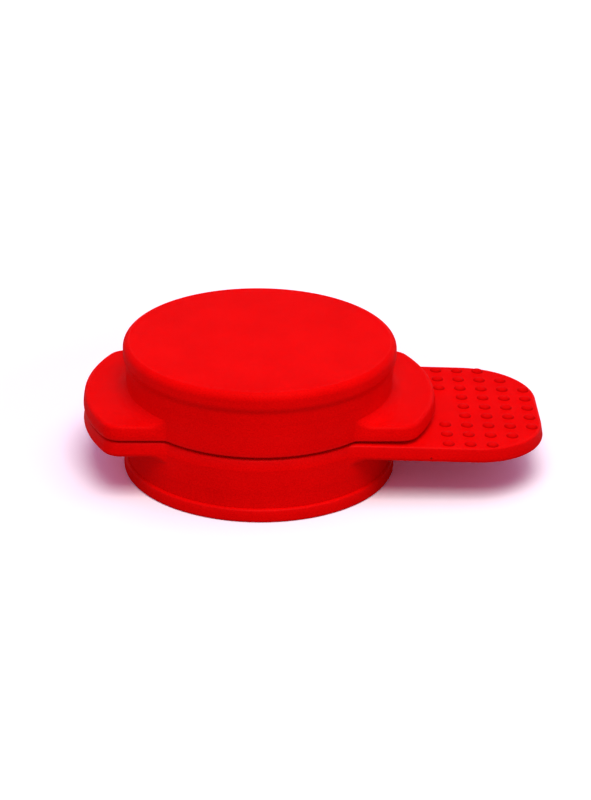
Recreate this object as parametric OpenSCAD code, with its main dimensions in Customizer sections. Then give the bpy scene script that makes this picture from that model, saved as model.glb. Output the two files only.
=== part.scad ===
/* [Shell] */
// Outer radius of the rolled rims at the top and at the foot
rim_r = 25; // [23:0.5:28]
// How far a rim stands out from the wall
rim_overhang = 0.6; // [0.4:0.1:0.9]
// Round on the top edge of the cover's rim
rim_round = 1.3; // [1:0.1:1.8]
// Straight band at the cover rim's widest
rim_band = 1; // [0.6:0.1:1.4]
// Round on the side of the cover's rim that faces the wall
rim_under = 1.5; // [1.2:0.1:2]
// Round on the foot ring's outer edge
foot_round = 0.8; // [0.5:0.1:1.2]
// Straight band at the foot ring's widest
foot_band = 1.1; // [0.8:0.1:1.6]
// Thickness of the shell walls
wall_t = 2.2; // [2:0.1:2.6]
// Thickness of the cover's top
top_t = 1.7; // [1.6:0.1:2.6]
// Height of the base, from the foot to the seam
base_h = 12; // [11.6:0.2:15]
// Height of the cap, from the seam to its top
cap_h = 12.6; // [12.2:0.1:16]
// Gap at the seam between base and cap
seam_gap = 0.4; // [0.3:0.05:0.6]
// Round on the base's edge along the seam
lip_round = 1.2; // [0.6:0.1:1.4]

/* [Wings and paddle] */
// Radius of the wings' outer arc
wing_r = 32.3; // [30:0.1:36]
// Width across the wings
wing_w = 35.2; // [33:0.2:38]
// Thickness of the wings and the paddle
wing_t = 2.8; // [2.4:0.1:3.2]
// Fillet where a wing meets the wall
wing_fillet = 2; // [1:0.25:2.5]
// Round on the free edges of the wings and the paddle
edge_round = 0.7; // [0.4:0.1:1]
// Round on their edges along the seam
seam_round = 0.4; // [0.2:0.1:0.6]
// Width of the paddle
paddle_w = 36.8; // [34:0.2:40]
// Reach of the paddle's tip from the axis
paddle_reach = 51.9; // [49:0.1:58]
// Corner radius of the paddle's tip
paddle_corner = 13.2; // [10:0.2:16]
// Slope of the paddle down to its tip, in degrees
paddle_droop = 1.6; // [0:0.1:3]

/* [Studs] */
// Diameter of a grip stud
stud_d = 2.1; // [1.4:0.1:2.4]
// Height of a grip stud
stud_h = 0.5; // [0.4:0.1:0.8]
// Distance between stud columns along the paddle
stud_pitch_x = 3.95; // [3.5:0.05:5]
// Distance between stud rows across the paddle
stud_pitch_y = 4.05; // [3.5:0.05:5]
// Distance from the paddle's tip to the last column
stud_tip = 2.4; // [1.8:0.1:3]
// Least room between a stud and the paddle's edge
stud_edge = 0.1; // [0:0.05:0.6]
// Least room between a stud and the wings' sweep
stud_sweep = 1; // [0.4:0.1:2]

/* [Neck socket] */
// Thickness of the soft sleeve that grips the bottle neck, which sets its bore
sleeve_t = 3.15; // [2.65:0.05:4.15]
// Thickness of the gasket that meets the bottle's rim
gasket_t = 1.8; // [1.4:0.1:2.4]
// Inner radius of that gasket
gasket_in_r = 13; // [12:0.5:15]
// Thickness of the sleeve's locking rib
rib_t = 1; // [0.8:0.1:1.2]

/* [Valve] */
// Thickness of the deck that divides the neck from the valve
deck_t = 2.8; // [2.6:0.1:3.4]
// Radius of the pour port
port_r = 4.4; // [3.5:0.1:4.6]
// Distance of the ports from the axis
port_at = 9.5; // [9.2:0.1:10]
// Radius of the vent hole
vent_r = 1.6; // [1.2:0.1:1.8]
// Outer radius of the valve plate
plate_r = 16; // [15.5:0.1:16.2]
// How far the seat seal reaches past the valve plate
seal_rim = 0.5; // [0.3:0.1:0.6]
// Thickness of the seat seal
seal_t = 1.4; // [1.2:0.1:1.8]
// How deep the seat seal sits in the deck
seal_sunk = 0.8; // [0.6:0.1:1]
// Running gap at the faces that slide on each other
face_gap = 0.05; // [0.05:0.01:0.1]
// Radius of the plate's two drive pegs
peg_r = 1.5; // [1.2:0.1:1.8]
// How far the cap turns from shut to open
turn = 90; // [60:5:100]
// Radius of the two stop posts
stop_r = 1; // [0.8:0.1:1.1]
// Half the width of the plate's stop lug
lug_half = 2; // [1.5:0.1:2.5]

/* [Cap seal and spigot] */
// Height of the base's spigot inside the cap
spigot_h = 3; // [2.8:0.1:3.4]
// Wall of the spigot
spigot_t = 2.1; // [2:0.1:2.3]
// Gap between the spigot and the cap's wall
spigot_gap = 0.5; // [0.4:0.05:0.6]
// Cord diameter of the skirt seal
ring_d = 1.6; // [1.4:0.1:1.7]
// Thickness of the cap's floor
floor_t = 1.4; // [1.2:0.1:1.8]

/* [Pour window] */
// Half the window's angle as seen from the axis
window_half = 20; // [15:1:24]
// Wall left between the window and the cover
window_head = 0.6; // [0.4:0.1:1]
// Reach of the drip lip from the wall
lip_reach = 3; // [2:0.25:4]
// Thickness of the drip lip
lip_t = 1.2; // [1:0.1:1.4]
// How much further than the window the lip runs, in degrees
lip_extra = 3; // [1:0.5:5]
// How far the window's sill lies under the cap's floor
sill_drop = 0.15; // [0.1:0.05:0.3]

/* [Cover] */
// Thickness of the ring that locates the cover in the cap's wall
locate_t = 1; // [0.8:0.1:1.4]
// How far that ring reaches into the cap's wall
locate_h = 1.2; // [0.8:0.1:1.6]
// Width of the land inside the cover's rim
land_w = 2.2; // [1.8:0.1:3]

/* [Pivot] */
// Radius of the pivot screw's shank
screw_r = 1.5; // [1.25:0.05:2]
// Radius of its head
head_r = 2.9; // [2.7:0.1:3.4]
// Height of its head
head_h = 1.6; // [1.2:0.1:2]
// Thickness of the thrust washer
washer_t = 0.5; // [0.4:0.1:0.8]
// Free height of the spring washer
spring_h = 0.6; // [0.5:0.05:0.8]
// Sheet thickness of the spring washer
spring_t = 0.35; // [0.25:0.05:0.4]
// Outer radius of the threaded insert
insert_r = 2.4; // [2.2:0.1:2.8]
// Length of the threaded insert
insert_l = 3; // [2.4:0.1:3]
// Floor of the boss under the insert
boss_floor = 0.5; // [0.4:0.1:0.8]
// Wall of the boss around the insert
boss_wall = 1.6; // [1.2:0.1:2]
// How far the thrust washer reaches past the screw's head
washer_rim = 0.6; // [0.4:0.1:0.8]
// Height of the cap's hub above its floor
hub_rise = 0.8; // [0.5:0.1:1.2]
// How far that hub reaches past the thrust washer
hub_rim = 0.5; // [0.3:0.1:0.8]
// Length of each arm of the screw's cross recess
recess_l = 3.4; // [2.6:0.1:4]
// Width of its arms
recess_w = 0.8; // [0.6:0.1:1]
// Depth of that recess
recess_d = 0.8; // [0.6:0.1:1]

/* [Vent tube] */
// Bore radius of the vent tube
tube_r = 1.6; // [1.5:0.05:1.8]
// Wall of the vent tube
tube_t = 0.6; // [0.4:0.1:0.7]
// Depth of the tube's seat in the cap's floor
tube_seat = 0.8; // [0.6:0.1:0.9]
// Room between the tube's mouth and the cover
tube_head = 2; // [1.6:0.1:2.6]
// Radius of the check ball
ball_r = 1.3; // [1.2:0.05:1.4]
// Radius of the hole that the ball rests on, and of the tube's mouth
ball_seat_r = 0.9; // [0.7:0.05:1]

/* [Strainer] */
// Thickness of the strainer disc
mesh_t = 0.5; // [0.3:0.1:0.6]
// Rim of the strainer around the port
mesh_rim = 0.7; // [0.5:0.1:0.8]
// Radius of a strainer hole
mesh_hole_r = 0.5; // [0.3:0.05:0.55]
// Distance between strainer holes
mesh_pitch = 1.45; // [1.4:0.05:1.6]

/* [Fits] */
// Gap around pieces that are pressed, clipped or screwed together
fit_gap = 0.05; // [0.02:0.01:0.08]
// Gap around pieces that turn on each other
run_gap = 0.05; // [0.03:0.01:0.08]
// Gap of stops, pegs and pieces that pass each other loosely
loose_gap = 0.2; // [0.15:0.05:0.3]

/* [Hidden] */
$fn = 96;

RED = [0.84, 0.02, 0.02];
RUBBER = [0.12, 0.12, 0.13];
SILICONE = [0.88, 0.87, 0.84];
ACETAL = [0.93, 0.93, 0.9];
STEEL = [0.72, 0.73, 0.75];
BRASS = [0.78, 0.62, 0.3];

// Overlap that lets two solids of one piece join
weld = 0.5;

// Radii and half widths
half_w = wing_w / 2;
paddle_half = paddle_w / 2;
wall_r = rim_r - rim_overhang;
cavity_r = wall_r - wall_t;
lip_r = wall_r + lip_reach;
ledge_r = wall_r - lip_round - weld;
bend_x = sqrt(pow(ledge_r, 2) - pow(paddle_half, 2));
lock_r = cavity_r + wall_t / 2;
neck_r = cavity_r - fit_gap - sleeve_t;
spigot_r = cavity_r - spigot_gap;
spigot_in_r = spigot_r - spigot_t;
seal_r = plate_r + seal_rim;
ring_at = cavity_r - run_gap - ring_d / 2;
groove_r = ring_at - ring_d / 2 - run_gap;
groove_w = ring_d + 2 * loose_gap;
washer_r = head_r + washer_rim;
hub_r = washer_r + hub_rim;
tube_out_r = tube_r + tube_t;
mesh_r = port_r + mesh_rim;
boss_r = insert_r + boss_wall;

// Heights, from the foot up
under_drop = sqrt(pow(rim_under, 2) - pow(rim_under - rim_overhang, 2));
rim_h = rim_round + rim_band + under_drop;
foot_side = foot_round + foot_band;
foot_h = foot_side + rim_overhang;
deck_z = base_h - deck_t;
sleeve_h = deck_z - gasket_t;
seat_z = base_h - seal_sunk;
insert_z = seat_z - insert_l;
boss_z = insert_z - boss_floor;
plate_z = seat_z + seal_t + face_gap;
spigot_z = base_h + spigot_h;
cap_z = base_h + seam_gap;
cap_top = cap_z + cap_h;
ceiling_z = cap_top - top_t;
cap_wall_z = cap_top - rim_h;
floor_z = spigot_z + loose_gap;
floor_top = floor_z + floor_t;
hub_top = floor_top + hub_rise;
washer_z = hub_top + face_gap;
spring_z = washer_z + washer_t;
head_z = spring_z + spring_h;
window_top = cap_wall_z - window_head;
lip_top = floor_top - sill_drop;
sill_t = floor_t / 2;
tube_z = floor_top - tube_seat;
tube_top = ceiling_z - tube_head;
tube_crimp = tube_t;
ball_rise = sqrt(pow(ball_r, 2) - pow(ball_seat_r, 2));
ball_z = tube_z + ball_rise + fit_gap;

// Directions around the axis, in degrees from the paddle
deck_port_dir = 180;
deck_vent_dir = 0;
open_port_dir = deck_port_dir - turn;
open_vent_dir = deck_vent_dir - turn;
peg_dir = open_port_dir - 45;
lug_dir = 315;
stop_at = (plate_r + spigot_in_r) / 2 + loose_gap;
lug_reach = spigot_in_r - 2 * loose_gap;
stop_swing = asin((lug_half + stop_r + loose_gap) / stop_at);

// Places its children at a direction and a distance from the axis
module around(dir, at) {
    rotate(dir) translate([at, 0, 0]) children();
}

// Side view of a plate's edge: r_low and r_high round its lower and upper corner
module plate_section(reach, r_low, r_high) {
    square([reach - max(r_low, r_high), wing_t]);
    translate([0, r_low]) square([reach, wing_t - r_low - r_high]);
    translate([reach - r_low, r_low]) circle(r_low);
    translate([reach - r_high, wing_t - r_high]) circle(r_high);
    square([reach - r_low, wing_t / 2]);
    translate([0, wing_t / 2]) square([reach - r_high, wing_t / 2]);
}

// Bar along X with the plate's edge on both sides
module plate_bar(x0, x1, half, r_low, r_high) {
    translate([x0, 0, 0]) rotate([90, 0, 90]) linear_extrude(x1 - x0)
        for (side = [0, 1]) mirror([side, 0]) plate_section(half, r_low, r_high);
}

// Round disc with the plate's edge, cut to the wings' width
module wing_disc(x0, x1, r_low, r_high) {
    intersection() {
        rotate_extrude() plate_section(wing_r, r_low, r_high);
        plate_bar(x0, x1, half_w, r_low, r_high);
    }
}

// Thumb paddle from inside the wall on: a bar, two rounded corners and the tip between them
module paddle_plate(r_low, r_high) {
    core = paddle_reach - paddle_corner;
    flat = paddle_half - paddle_corner;
    plate_bar(bend_x, core, paddle_half, r_low, r_high);
    for (side = [0, 1]) mirror([0, side, 0]) translate([core, flat, 0])
        rotate_extrude(angle = 90) plate_section(paddle_corner, r_low, r_high);
    translate([core, flat, 0]) rotate([90, 0, 0]) linear_extrude(2 * flat)
        plate_section(paddle_corner, r_low, r_high);
}

// Tilts its children about the line inside the wall where the paddle starts
module drooped() {
    translate([bend_x, 0, base_h]) rotate([0, paddle_droop, 0]) translate([-bend_x, 0, -base_h]) children();
}

// Concave fillet ring that rises from a plate's face to the wall, kept to the wings' width
module wing_fillet_ring() {
    reach = wall_r + wing_fillet;
    intersection() {
        rotate_extrude() difference() {
            translate([wall_r - weld, -weld]) square([wing_fillet + weld, wing_fillet + weld]);
            translate([reach, wing_fillet]) circle(wing_fillet);
        }
        translate([-reach, -half_w, -weld]) cube([2 * reach, wing_w, wing_fillet + 2 * weld]);
    }
}

// Quarter circle at the outer corner of a rim whose end face lies at height 0
module rim_corner(inner, round) {
    intersection() {
        translate([rim_r - round, round]) circle(round);
        translate([inner, 0]) square([rim_r - inner, round]);
    }
}

// Rolled rim of the cover: its end face lies at height 0 and it meets the wall at rim_h
module rim_section(inner) {
    under_y = rim_round + rim_band;
    translate([inner, 0]) square([rim_r - rim_round - inner, under_y]);
    translate([inner, rim_round]) square([rim_r - inner, rim_band]);
    translate([inner, rim_round]) square([wall_r - inner, rim_h - rim_round]);
    rim_corner(inner, rim_round);
    intersection() {
        translate([rim_r - rim_under, under_y]) circle(rim_under);
        translate([inner, under_y]) square([rim_r - inner, under_drop]);
    }
}

// Bead of the foot ring, with a sloped shoulder up to the wall
module foot_section() {
    translate([cavity_r, 0]) square([rim_r - foot_round - cavity_r, foot_side]);
    rim_corner(cavity_r, foot_round);
    polygon([
        [cavity_r, foot_round],
        [rim_r, foot_round],
        [rim_r, foot_side],
        [wall_r, foot_h],
        [cavity_r, foot_h]
    ]);
}

// Room from a point to the paddle's outline, less than nothing outside it
function paddle_room(x, y) =
    let (dx = x - paddle_reach + paddle_corner, dy = abs(y) - paddle_half + paddle_corner)
    dx > 0 && dy > 0 ? paddle_corner - norm([dx, dy]) : paddle_corner - max(dx, dy);

// True where a stud clears the paddle's edge and the wings' sweep
function stud_fits(x, y) =
    paddle_room(x, y) >= stud_d / 2 + stud_edge && norm([x, y]) >= wing_r + stud_d / 2 + stud_sweep;

// Low domes on the paddle, in columns counted back from the tip
module studs() {
    dome_r = (pow(stud_h, 2) + pow(stud_d / 2, 2)) / (2 * stud_h);
    columns = floor((paddle_reach - stud_tip - wing_r) / stud_pitch_x);
    rows = floor(paddle_half / stud_pitch_y);
    for (i = [0 : columns], j = [-rows : rows]) {
        x = paddle_reach - stud_tip - i * stud_pitch_x;
        y = j * stud_pitch_y;
        if (stud_fits(x, y)) translate([x, y, base_h + stud_h - dome_r]) sphere(dome_r);
    }
}

// Wall, deck, spigot and insert boss of the base, as one turned section
module base_section() {
    difference() {
        union() {
            translate([0, foot_h]) square([wall_r - lip_round, base_h - foot_h]);
            translate([0, foot_h]) square([wall_r, base_h - foot_h - lip_round]);
            translate([wall_r - lip_round, base_h - lip_round]) circle(lip_round);
            translate([spigot_in_r, base_h - weld]) square([spigot_t, spigot_h + weld]);
        }
        square([cavity_r, deck_z]);
        square([lock_r, sleeve_h]);
        translate([0, seat_z]) square([seal_r + fit_gap, deck_t]);
        translate([groove_r, base_h + (spigot_h - groove_w) / 2]) square([spigot_t, groove_w]);
    }
    translate([0, boss_z]) square([boss_r, seat_z - boss_z]);
}

module base_shell() color(RED) {
    difference() {
        union() {
            rotate_extrude() base_section();
            difference() {
                union() {
                    translate([0, 0, base_h - wing_t]) wing_disc(-wing_r - weld, 0, edge_round, seam_round);
                    drooped() translate([0, 0, base_h - wing_t]) paddle_plate(edge_round, seam_round);
                }
                cylinder(r = ledge_r, h = 2 * base_h);
            }
            translate([0, 0, base_h - wing_t]) mirror([0, 0, 1]) wing_fillet_ring();
            drooped() studs();
            for (dir = [lug_dir - stop_swing, lug_dir + turn + stop_swing]) around(dir, stop_at)
                translate([0, 0, base_h - weld]) cylinder(r = stop_r, h = spigot_h + weld);
        }
        around(deck_port_dir, port_at) cylinder(r = port_r, h = base_h);
        around(deck_port_dir, port_at) cylinder(r = mesh_r + fit_gap, h = deck_z + mesh_t);
        around(deck_vent_dir, port_at) cylinder(r = vent_r, h = base_h);
        translate([0, 0, insert_z]) cylinder(r = insert_r + fit_gap, h = base_h);
    }
}

// Rolled ring at the foot, which holds the sleeve up in the base
module foot_ring() color(RED) rotate_extrude() {
    foot_section();
    translate([cavity_r, foot_h - weld])
        square([lock_r - fit_gap - cavity_r, sleeve_h - rib_t - foot_h + weld]);
}

module neck_sleeve() color(RUBBER) rotate_extrude() {
    translate([neck_r, 0]) square([sleeve_t, sleeve_h]);
    translate([neck_r, sleeve_h - rib_t]) square([lock_r - fit_gap - neck_r, rib_t]);
}

module neck_gasket() color(SILICONE) rotate_extrude()
    translate([gasket_in_r, sleeve_h]) square([cavity_r - fit_gap - gasket_in_r, gasket_t]);

// Perforated disc under the pour port, with rings of six and twelve holes around one
module strainer() color(STEEL) around(deck_port_dir, port_at) translate([0, 0, deck_z]) difference() {
    cylinder(r = mesh_r, h = mesh_t);
    for (ring = [0 : 2], i = [0 : max(0, 6 * ring - 1)]) around(60 * i / max(1, ring), ring * mesh_pitch)
        translate([0, 0, -weld]) cylinder(r = mesh_hole_r, h = mesh_t + 2 * weld);
}

module seat_seal() color(SILICONE) translate([0, 0, seat_z]) difference() {
    cylinder(r = seal_r, h = seal_t);
    translate([0, 0, -weld]) {
        cylinder(r = screw_r + loose_gap, h = seal_t + 2 * weld);
        around(deck_port_dir, port_at) cylinder(r = port_r, h = seal_t + 2 * weld);
        around(deck_vent_dir, port_at) cylinder(r = vent_r, h = seal_t + 2 * weld);
    }
}

// Round cord ring in the spigot's groove, which seals the cap's skirt
module skirt_seal() color(RUBBER) rotate_extrude()
    translate([ring_at, base_h + spigot_h / 2]) circle(ring_d / 2);

module threaded_insert() color(BRASS) translate([0, 0, insert_z]) difference() {
    cylinder(r = insert_r, h = insert_l);
    translate([0, 0, -weld]) cylinder(r = screw_r + fit_gap, h = insert_l + 2 * weld);
}

// Shouldered screw with a cross recess, driven from above before the cover goes on
module pivot_screw() color(STEEL) difference() {
    union() {
        translate([0, 0, insert_z]) cylinder(r = screw_r, h = head_z - insert_z + weld);
        translate([0, 0, head_z]) cylinder(r = head_r, h = head_h);
    }
    for (dir = [0, 90]) rotate(dir) translate([-recess_l / 2, -recess_w / 2, head_z + head_h - recess_d])
        cube([recess_l, recess_w, head_h]);
}

module thrust_washer() color(ACETAL) translate([0, 0, washer_z]) difference() {
    cylinder(r = washer_r, h = washer_t);
    translate([0, 0, -weld]) cylinder(r = screw_r + loose_gap, h = washer_t + 2 * weld);
}

// Coned washer under the screw's head, which keeps the valve plate on its seal
module spring_washer() color(STEEL) rotate_extrude() polygon([
    [screw_r + loose_gap, head_z],
    [screw_r + loose_gap, head_z - spring_t],
    [head_r, spring_z],
    [head_r, spring_z + spring_t]
]);

// Turning disc that opens and shuts the ports, with two pegs and a stop lug
module valve_plate() color(ACETAL) {
    difference() {
        union() {
            translate([0, 0, plate_z]) cylinder(r = plate_r, h = floor_z - plate_z);
            for (dir = [peg_dir, peg_dir + 180]) around(dir, port_at)
                translate([0, 0, floor_z - weld]) cylinder(r = peg_r, h = floor_t + weld);
            rotate(lug_dir) translate([plate_r - weld, -lug_half, base_h + seal_t])
                cube([lug_reach - plate_r + weld, 2 * lug_half, floor_z - base_h - seal_t]);
        }
        cylinder(r = screw_r + run_gap, h = cap_top);
        around(open_port_dir, port_at) cylinder(r = port_r, h = cap_top);
        around(open_vent_dir, port_at) cylinder(r = vent_r, h = cap_top);
    }
}

// Ring sector centred on the pour port's direction
module port_sector(half) {
    rotate(open_port_dir - half) rotate_extrude(angle = 2 * half) children();
}

// Wall, floor and hub of the cap, as one turned section
module cap_section() {
    translate([cavity_r, cap_z]) square([wall_t - seam_round, cap_wall_z - cap_z]);
    translate([cavity_r, cap_z + seam_round]) square([wall_t, cap_wall_z - cap_z - seam_round]);
    translate([wall_r - seam_round, cap_z + seam_round]) circle(seam_round);
    translate([0, floor_z]) square([cavity_r + weld, floor_t]);
    translate([0, floor_z]) square([hub_r, floor_t + hub_rise]);
}

// Opening through the cap's wall, cut a little below its sill
module pour_window() port_sector(window_half) translate([cavity_r - weld, lip_top - sill_t / 2])
    square([wall_t + 2 * weld, window_top - lip_top + sill_t / 2]);

// Sill of the window and drip lip in one, with a thin edge that cuts off the drops
module drip_lip() port_sector(window_half + lip_extra) polygon([
    [cavity_r - 2 * weld, lip_top],
    [lip_r, lip_top],
    [lip_r, lip_top - lip_t / 3],
    [lip_r - lip_t, lip_top - lip_t],
    [wall_r - weld, lip_top - lip_t],
    [wall_r - weld, lip_top - sill_t],
    [cavity_r - 2 * weld, lip_top - sill_t]
]);

module cap_shell() color(RED) difference() {
    union() {
        difference() {
            union() {
                rotate_extrude() cap_section();
                difference() {
                    translate([0, 0, cap_z]) wing_disc(-wing_r - weld, wing_r + weld, seam_round, edge_round);
                    cylinder(r = wall_r - wall_t / 2, h = cap_top);
                }
                translate([0, 0, cap_z + wing_t]) wing_fillet_ring();
            }
            pour_window();
        }
        drip_lip();
    }
    cylinder(r = screw_r + run_gap, h = cap_top);
    around(open_port_dir, port_at) cylinder(r = port_r, h = cap_top);
    around(open_vent_dir, port_at) cylinder(r = ball_seat_r, h = cap_top);
    around(open_vent_dir, port_at) translate([0, 0, tube_z])
        cylinder(r = tube_out_r + fit_gap, h = cap_top);
    for (dir = [peg_dir, peg_dir + 180]) around(dir, port_at) cylinder(r = peg_r + fit_gap, h = cap_top);
}

// Top disc with its rolled rim, and a ring that locates it in the cap's wall and stops beside the window
module cap_cover() color(RED) {
    ring_from = window_half + lip_extra;
    rotate_extrude() {
        translate([0, cap_top]) mirror([0, 1]) rim_section(cavity_r - land_w);
        translate([0, ceiling_z]) square([cavity_r, top_t]);
    }
    rotate(open_port_dir + ring_from) rotate_extrude(angle = 360 - 2 * ring_from)
        translate([cavity_r - fit_gap - locate_t, cap_wall_z - locate_h]) square([locate_t, locate_h + weld]);
}

// Upright tube with a crimped mouth, pressed into the cap's floor
module vent_tube() color(STEEL) around(open_vent_dir, port_at) difference() {
    translate([0, 0, tube_z]) cylinder(r = tube_out_r, h = tube_top - tube_z);
    translate([0, 0, tube_z - weld]) cylinder(r = tube_r, h = tube_top - tube_crimp - tube_z + weld);
    cylinder(r = ball_seat_r, h = cap_top);
}

// Ball that shuts the vent while the bottle stands upright
module vent_ball() color(STEEL) around(open_vent_dir, port_at) translate([0, 0, ball_z]) sphere(ball_r);

base_shell();
foot_ring();
neck_sleeve();
neck_gasket();
strainer();
seat_seal();
skirt_seal();
threaded_insert();
pivot_screw();
thrust_washer();
spring_washer();
valve_plate();
cap_shell();
cap_cover();
vent_tube();
vent_ball();
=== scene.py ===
# %% [markdown]
# # A pour spout in red plastic
# This lesson dresses the CAD model of a low, round pour spout that sits on a bottle's neck.
# The CAD model gives every size and every joint, and the pieces here keep to both.
# The four red shells and the neck sleeve are modelled again with finer edges, the grip studs are laid out
# by a rule, and each piece gets a finish whose grain, marks and gloss have their real scale.

# %% Load the frame
import math
import bmesh
import bpy
import numpy as np
from mathutils import Matrix, Vector


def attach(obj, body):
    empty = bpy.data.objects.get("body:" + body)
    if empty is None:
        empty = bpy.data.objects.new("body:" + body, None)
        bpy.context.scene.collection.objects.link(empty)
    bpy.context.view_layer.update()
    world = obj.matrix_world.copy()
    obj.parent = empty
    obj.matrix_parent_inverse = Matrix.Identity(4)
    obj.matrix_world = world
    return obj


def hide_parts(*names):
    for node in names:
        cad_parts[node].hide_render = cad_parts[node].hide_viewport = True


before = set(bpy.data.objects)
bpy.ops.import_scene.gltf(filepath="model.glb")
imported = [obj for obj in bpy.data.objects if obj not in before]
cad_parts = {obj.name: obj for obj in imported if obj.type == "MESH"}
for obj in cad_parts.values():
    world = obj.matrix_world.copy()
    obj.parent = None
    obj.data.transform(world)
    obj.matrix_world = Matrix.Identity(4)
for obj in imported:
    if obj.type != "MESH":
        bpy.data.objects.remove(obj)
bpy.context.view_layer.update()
MM = 0.001

# %% [markdown]
# ## The camera
# The camera stands where the photographer stood: half a metre away, a little above the object and almost
# square to it. A long lens keeps the round rims close to plain ellipses. The place is worked out from the
# pixel where the object's axis meets the table, so the object lands in the same spot of the picture.

# %% Place the camera
PICTURE = (591, 800)
FOCAL = 2685.65
DISTANCE = 0.5
ELEVATION = 0.43
AZIMUTH = -0.0306
ROLL = 0.0145
AXIS_PIXEL = (258.889, 461.371)


def make_camera():
    """Makes the camera that sees the object's axis at its pixel of the picture."""
    back = Vector((math.sin(AZIMUTH) * math.cos(ELEVATION), -math.cos(AZIMUTH) * math.cos(ELEVATION),
                   math.sin(ELEVATION)))
    level = Vector((math.cos(AZIMUTH), math.sin(AZIMUTH), 0))
    rise = back.cross(level)
    right = level * math.cos(ROLL) + rise * math.sin(ROLL)
    up = rise * math.cos(ROLL) - level * math.sin(ROLL)
    across = (AXIS_PIXEL[0] - PICTURE[0] / 2) / FOCAL * DISTANCE
    down = (AXIS_PIXEL[1] - PICTURE[1] / 2) / FOCAL * DISTANCE
    eye = back * DISTANCE - right * across + up * down
    data = bpy.data.cameras.new("camera")
    data.lens = data.sensor_width * FOCAL / PICTURE[1]
    data.clip_start = 0.01
    camera = bpy.data.objects.new("camera", data)
    camera.matrix_world = Matrix.Translation(eye) @ Matrix((right, up, back)).transposed().to_4x4()
    bpy.context.scene.collection.objects.link(camera)
    bpy.context.scene.camera = camera
    return camera


camera = make_camera()
print("lens in mm:", round(camera.data.lens, 2))

# %% [markdown]
# ## Building with nodes
# Materials and shapes are both built from nodes. One small helper adds a node, sets its options and joins
# its inputs, so that each tree below reads as a list of steps. Others start a group or a geometry tree, and
# one ends a geometry tree: it turns instances into a plain mesh and sets the mesh's finish.

# %% Helpers for nodes
def add(tree, kind, inputs=None, **options):
    """Adds a node to a tree, sets its options and joins or fills its inputs."""
    made = tree.nodes.new(kind)
    for name, value in options.items():
        setattr(made, name, value)
    for key, value in (inputs or {}).items():
        if isinstance(value, bpy.types.NodeSocket):
            tree.links.new(value, made.inputs[key])
        else:
            made.inputs[key].default_value = value
    return made


def maths(tree, operation, first, second=0.0):
    """Adds a Math node and returns its output."""
    return add(tree, "ShaderNodeMath", {0: first, 1: second}, operation=operation).outputs[0]


def vector(tree, **parts):
    """Adds a Combine XYZ node and returns its vector."""
    return add(tree, "ShaderNodeCombineXYZ", parts).outputs[0]


def length(tree, arrow):
    """Adds a node that measures a vector and returns its length."""
    return add(tree, "ShaderNodeVectorMath", {0: arrow}, operation="LENGTH").outputs["Value"]


def open_group(name, inputs, outputs):
    """Starts a shader node group with named sockets and returns it with its two end nodes."""
    group = bpy.data.node_groups.new(name, "ShaderNodeTree")
    for label, kind, value in inputs:
        socket = group.interface.new_socket(label, in_out="INPUT", socket_type="NodeSocket" + kind)
        if value is not None:
            socket.default_value = value
    for label in outputs:
        group.interface.new_socket(label, in_out="OUTPUT", socket_type="NodeSocketFloat")
    return group, group.nodes.new("NodeGroupInput"), group.nodes.new("NodeGroupOutput")


def open_tree(name, labels):
    """Starts a Geometry Nodes tree and returns it with its inputs and with their identifiers."""
    tree = bpy.data.node_groups.new(name, "GeometryNodeTree")
    identifiers = {}
    for label, kind in labels:
        socket = tree.interface.new_socket(label, in_out="INPUT", socket_type="NodeSocket" + kind)
        identifiers[label] = socket.identifier
    tree.interface.new_socket("Mesh", in_out="OUTPUT", socket_type="NodeSocketGeometry")
    source = add(tree, "NodeGroupInput")
    return tree, {label: source.outputs[label] for label in identifiers}, identifiers


def close_tree(tree, mesh, finish):
    """Ends a Geometry Nodes tree: instances become a plain mesh, which gets its finish."""
    real = add(tree, "GeometryNodeRealizeInstances", {"Geometry": mesh})
    done = add(tree, "GeometryNodeSetMaterial", {"Geometry": real.outputs[0], "Material": finish})
    add(tree, "NodeGroupOutput", {0: done.outputs[0]})


# %% [markdown]
# ## Effects that several finishes share
# Moulded plastic takes the grain of its sandblasted mould: a fine, even roughness, with slow changes of
# tone where the melt cooled. Rubber and silicone have the same effect at other sizes, so it is a node
# group with the grain's size as an input. Dust and flecks are a second group, and the rings that a
# lathe leaves on metal are a third.

# %% Grain, flecks and turning marks
def make_grain():
    """Group for moulded grain: a height for the bump and a slow change of tone."""
    group, source, sink = open_group(
        "moulded_grain", [("Vector", "Vector", None), ("Grain Size", "Float", 0.0002),
                          ("Tone Size", "Float", 0.012)], ["Height", "Tone"])
    for size, detail, rough, result in (("Grain Size", 3.0, 0.6, "Height"), ("Tone Size", 4.0, 0.55, "Tone")):
        scale = maths(group, "DIVIDE", 1.0, source.outputs[size])
        noise = add(group, "ShaderNodeTexNoise", {"Vector": source.outputs["Vector"], "Scale": scale,
                                                  "Detail": detail, "Roughness": rough})
        group.links.new(noise.outputs["Fac"], sink.inputs[result])
    return group


def make_flecks():
    """Group for flecks of dust: small round spots in some cells of a Voronoi pattern."""
    group, source, sink = open_group(
        "dust_flecks", [("Vector", "Vector", None), ("Spacing", "Float", 0.004),
                        ("Share", "Float", 0.2), ("Spot", "Float", 0.06)], ["Mask"])
    scale = maths(group, "DIVIDE", 1.0, source.outputs["Spacing"])
    cells = add(group, "ShaderNodeTexVoronoi", {"Vector": source.outputs["Vector"], "Scale": scale})
    chance = add(group, "ShaderNodeSeparateColor", {0: cells.outputs["Color"]})
    chosen = maths(group, "LESS_THAN", chance.outputs[0], source.outputs["Share"])
    size = maths(group, "MULTIPLY", chance.outputs[1], source.outputs["Spot"])
    inside = maths(group, "LESS_THAN", cells.outputs["Distance"], size)
    group.links.new(maths(group, "MULTIPLY", chosen, inside), sink.inputs["Mask"])
    return group


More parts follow.
